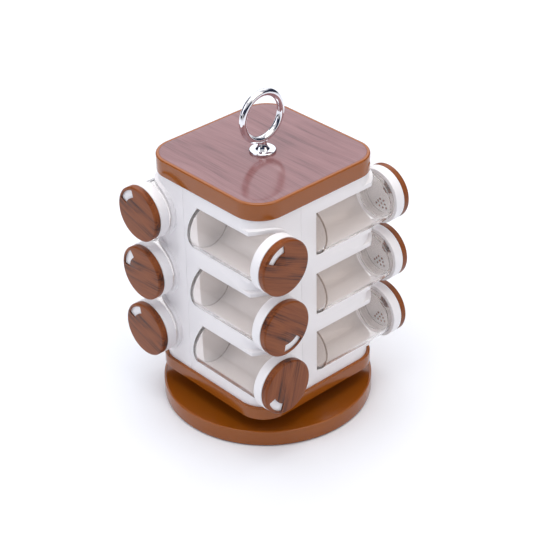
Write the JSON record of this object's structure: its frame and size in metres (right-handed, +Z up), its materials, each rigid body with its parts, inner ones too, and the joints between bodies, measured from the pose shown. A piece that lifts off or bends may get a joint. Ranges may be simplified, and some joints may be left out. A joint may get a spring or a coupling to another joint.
{
  "type": "spice carousel",
  "caption": "Square spice tower on a round turntable, with jars lying on their sides in all four faces, dial-top shaker caps and a ring handle on top.",
  "frame": {"origin": "centre of the turntable's resting face", "axes": "+Z up along the turning axis; +X and -Y look out through two neighbouring faces of the tower"},
  "size_m": [0.1658, 0.1658, 0.2616],
  "materials": {
    "white_plastic": "satin moulded plastic",
    "brown_plastic": "glossy caramel-brown moulded plastic",
    "wood_laminate": "glossy wood-grain laminate",
    "wood_dial": "satin plastic with a dark wood-grain print",
    "clear_plastic": "clear moulded plastic",
    "chrome": "polished",
    "steel": "zinc-plated",
    "nylon": "natural nylon",
    "rubber": "soft, matt"
  },
  "bodies": {
    "base": {"turntable_base": "brown_plastic", "anti_slip_ring": "rubber", "spindle": "steel", "spindle_nut": "steel", "lower_race": "steel", "bearing_balls": "steel", "ball_cage": "nylon"},
    "carousel": {"upper_race": "steel", "hub_bush": "nylon", "lower_plate": "brown_plastic", "bearing_hub": "brown_plastic", "core_column": "white_plastic", "panel_front": "white_plastic", "panel_right": "white_plastic", "panel_back": "white_plastic", "panel_left": "white_plastic", "top_plate": "brown_plastic", "top_laminate": "wood_laminate", "handle_base": "chrome", "handle_ring": "chrome", "handle_nut": "steel", "panel_screws": "steel", "floor_screws": "steel", "top_screws": "steel"},
    "jar_front_bottom": {"jar_front_bottom": "clear_plastic"},
    "cap_front_bottom": {"cap_front_bottom": "white_plastic"},
    "dial_front_bottom": {"dial_front_bottom": "wood_dial"},
    "jar_front_middle": {"jar_front_middle": "clear_plastic"},
    "cap_front_middle": {"cap_front_middle": "white_plastic"},
    "dial_front_middle": {"dial_front_middle": "wood_dial"},
    "jar_front_top": {"jar_front_top": "clear_plastic"},
    "cap_front_top": {"cap_front_top": "white_plastic"},
    "dial_front_top": {"dial_front_top": "wood_dial"},
    "jar_right_bottom": {"jar_right_bottom": "clear_plastic"},
    "cap_right_bottom": {"cap_right_bottom": "white_plastic"},
    "dial_right_bottom": {"dial_right_bottom": "wood_dial"},
    "jar_right_middle": {"jar_right_middle": "clear_plastic"},
    "cap_right_middle": {"cap_right_middle": "white_plastic"},
    "dial_right_middle": {"dial_right_middle": "wood_dial"},
    "jar_right_top": {"jar_right_top": "clear_plastic"},
    "cap_right_top": {"cap_right_top": "white_plastic"},
    "dial_right_top": {"dial_right_top": "wood_dial"},
    "jar_back_bottom": {"jar_back_bottom": "clear_plastic"},
    "cap_back_bottom": {"cap_back_bottom": "white_plastic"},
    "dial_back_bottom": {"dial_back_bottom": "wood_dial"},
    "jar_back_middle": {"jar_back_middle": "clear_plastic"},
    "cap_back_middle": {"cap_back_middle": "white_plastic"},
    "dial_back_middle": {"dial_back_middle": "wood_dial"},
    "jar_back_top": {"jar_back_top": "clear_plastic"},
    "cap_back_top": {"cap_back_top": "white_plastic"},
    "dial_back_top": {"dial_back_top": "wood_dial"},
    "jar_left_bottom": {"jar_left_bottom": "clear_plastic"},
    "cap_left_bottom": {"cap_left_bottom": "white_plastic"},
    "dial_left_bottom": {"dial_left_bottom": "wood_dial"},
    "jar_left_middle": {"jar_left_middle": "clear_plastic"},
    "cap_left_middle": {"cap_left_middle": "white_plastic"},
    "dial_left_middle": {"dial_left_middle": "wood_dial"},
    "jar_left_top": {"jar_left_top": "clear_plastic"},
    "cap_left_top": {"cap_left_top": "white_plastic"},
    "dial_left_top": {"dial_left_top": "wood_dial"}
  },
  "joints": [
    {"name": "carousel_turn", "type": "hinge", "parent": "base", "child": "carousel", "pos_m": [0, 0, 0.0237], "axis": [0, 0, 1], "continuous": true},
    {"name": "jar_front_bottom_slide", "type": "slide", "parent": "carousel", "child": "jar_front_bottom", "axis": [1, 0, 0], "range_m": [0, 0.09]},
    {"name": "cap_front_bottom_off", "type": "slide", "parent": "jar_front_bottom", "child": "cap_front_bottom", "axis": [1, 0, 0], "range_m": [0, 0.02]},
    {"name": "dial_front_bottom_turn", "type": "hinge", "parent": "cap_front_bottom", "child": "dial_front_bottom", "pos_m": [0.078, -0.0523, 0.0642], "axis": [1, 0, 0], "continuous": true},
    {"name": "jar_front_middle_slide", "type": "slide", "parent": "carousel", "child": "jar_front_middle", "axis": [1, 0, 0], "range_m": [0, 0.09]},
    {"name": "cap_front_middle_off", "type": "slide", "parent": "jar_front_middle", "child": "cap_front_middle", "axis": [1, 0, 0], "range_m": [0, 0.02]},
    {"name": "dial_front_middle_turn", "type": "hinge", "parent": "cap_front_middle", "child": "dial_front_middle", "pos_m": [0.078, -0.0523, 0.116], "axis": [1, 0, 0], "continuous": true},
    {"name": "jar_front_top_slide", "type": "slide", "parent": "carousel", "child": "jar_front_top", "axis": [1, 0, 0], "range_m": [0, 0.09]},
    {"name": "cap_front_top_off", "type": "slide", "parent": "jar_front_top", "child": "cap_front_top", "axis": [1, 0, 0], "range_m": [0, 0.02]},
    {"name": "dial_front_top_turn", "type": "hinge", "parent": "cap_front_top", "child": "dial_front_top", "pos_m": [0.078, -0.0523, 0.1678], "axis": [1, 0, 0], "continuous": true},
    {"name": "jar_right_bottom_slide", "type": "slide", "parent": "carousel", "child": "jar_right_bottom", "axis": [0, 1, 0], "range_m": [0, 0.09]},
    {"name": "cap_right_bottom_off", "type": "slide", "parent": "jar_right_bottom", "child": "cap_right_bottom", "axis": [0, 1, 0], "range_m": [0, 0.02]},
    {"name": "dial_right_bottom_turn", "type": "hinge", "parent": "cap_right_bottom", "child": "dial_right_bottom", "pos_m": [0.0523, 0.078, 0.0642], "axis": [0, 1, 0], "continuous": true},
    {"name": "jar_right_middle_slide", "type": "slide", "parent": "carousel", "child": "jar_right_middle", "axis": [0, 1, 0], "range_m": [0, 0.09]},
    {"name": "cap_right_middle_off", "type": "slide", "parent": "jar_right_middle", "child": "cap_right_middle", "axis": [0, 1, 0], "range_m": [0, 0.02]},
    {"name": "dial_right_middle_turn", "type": "hinge", "parent": "cap_right_middle", "child": "dial_right_middle", "pos_m": [0.0523, 0.078, 0.116], "axis": [0, 1, 0], "continuous": true},
    {"name": "jar_right_top_slide", "type": "slide", "parent": "carousel", "child": "jar_right_top", "axis": [0, 1, 0], "range_m": [0, 0.09]},
    {"name": "cap_right_top_off", "type": "slide", "parent": "jar_right_top", "child": "cap_right_top", "axis": [0, 1, 0], "range_m": [0, 0.02]},
    {"name": "dial_right_top_turn", "type": "hinge", "parent": "cap_right_top", "child": "dial_right_top", "pos_m": [0.0523, 0.078, 0.1678], "axis": [0, 1, 0], "continuous": true},
    {"name": "jar_back_bottom_slide", "type": "slide", "parent": "carousel", "child": "jar_back_bottom", "axis": [-1, 0, 0], "range_m": [0, 0.09]},
    {"name": "cap_back_bottom_off", "type": "slide", "parent": "jar_back_bottom", "child": "cap_back_bottom", "axis": [-1, 0, 0], "range_m": [0, 0.02]},
    {"name": "dial_back_bottom_turn", "type": "hinge", "parent": "cap_back_bottom", "child": "dial_back_bottom", "pos_m": [-0.078, 0.0523, 0.0642], "axis": [-1, 0, 0], "continuous": true},
    {"name": "jar_back_middle_slide", "type": "slide", "parent": "carousel", "child": "jar_back_middle", "axis": [-1, 0, 0], "range_m": [0, 0.09]},
    {"name": "cap_back_middle_off", "type": "slide", "parent": "jar_back_middle", "child": "cap_back_middle", "axis": [-1, 0, 0], "range_m": [0, 0.02]},
    {"name": "dial_back_middle_turn", "type": "hinge", "parent": "cap_back_middle", "child": "dial_back_middle", "pos_m": [-0.078, 0.0523, 0.116], "axis": [-1, 0, 0], "continuous": true},
    {"name": "jar_back_top_slide", "type": "slide", "parent": "carousel", "child": "jar_back_top", "axis": [-1, 0, 0], "range_m": [0, 0.09]},
    {"name": "cap_back_top_off", "type": "slide", "parent": "jar_back_top", "child": "cap_back_top", "axis": [-1, 0, 0], "range_m": [0, 0.02]},
    {"name": "dial_back_top_turn", "type": "hinge", "parent": "cap_back_top", "child": "dial_back_top", "pos_m": [-0.078, 0.0523, 0.1678], "axis": [-1, 0, 0], "continuous": true},
    {"name": "jar_left_bottom_slide", "type": "slide", "parent": "carousel", "child": "jar_left_bottom", "axis": [0, -1, 0], "range_m": [0, 0.09]},
    {"name": "cap_left_bottom_off", "type": "slide", "parent": "jar_left_bottom", "child": "cap_left_bottom", "axis": [0, -1, 0], "range_m": [0, 0.02]},
    {"name": "dial_left_bottom_turn", "type": "hinge", "parent": "cap_left_bottom", "child": "dial_left_bottom", "pos_m": [-0.0523, -0.078, 0.0642], "axis": [0, -1, 0], "continuous": true},
    {"name": "jar_left_middle_slide", "type": "slide", "parent": "carousel", "child": "jar_left_middle", "axis": [0, -1, 0], "range_m": [0, 0.09]},
    {"name": "cap_left_middle_off", "type": "slide", "parent": "jar_left_middle", "child": "cap_left_middle", "axis": [0, -1, 0], "range_m": [0, 0.02]},
    {"name": "dial_left_middle_turn", "type": "hinge", "parent": "cap_left_middle", "child": "dial_left_middle", "pos_m": [-0.0523, -0.078, 0.116], "axis": [0, -1, 0], "continuous": true},
    {"name": "jar_left_top_slide", "type": "slide", "parent": "carousel", "child": "jar_left_top", "axis": [0, -1, 0], "range_m": [0, 0.09]},
    {"name": "cap_left_top_off", "type": "slide", "parent": "jar_left_top", "child": "cap_left_top", "axis": [0, -1, 0], "range_m": [0, 0.02]},
    {"name": "dial_left_top_turn", "type": "hinge", "parent": "cap_left_top", "child": "dial_left_top", "pos_m": [-0.0523, -0.078, 0.1678], "axis": [0, -1, 0], "continuous": true}
  ]
}
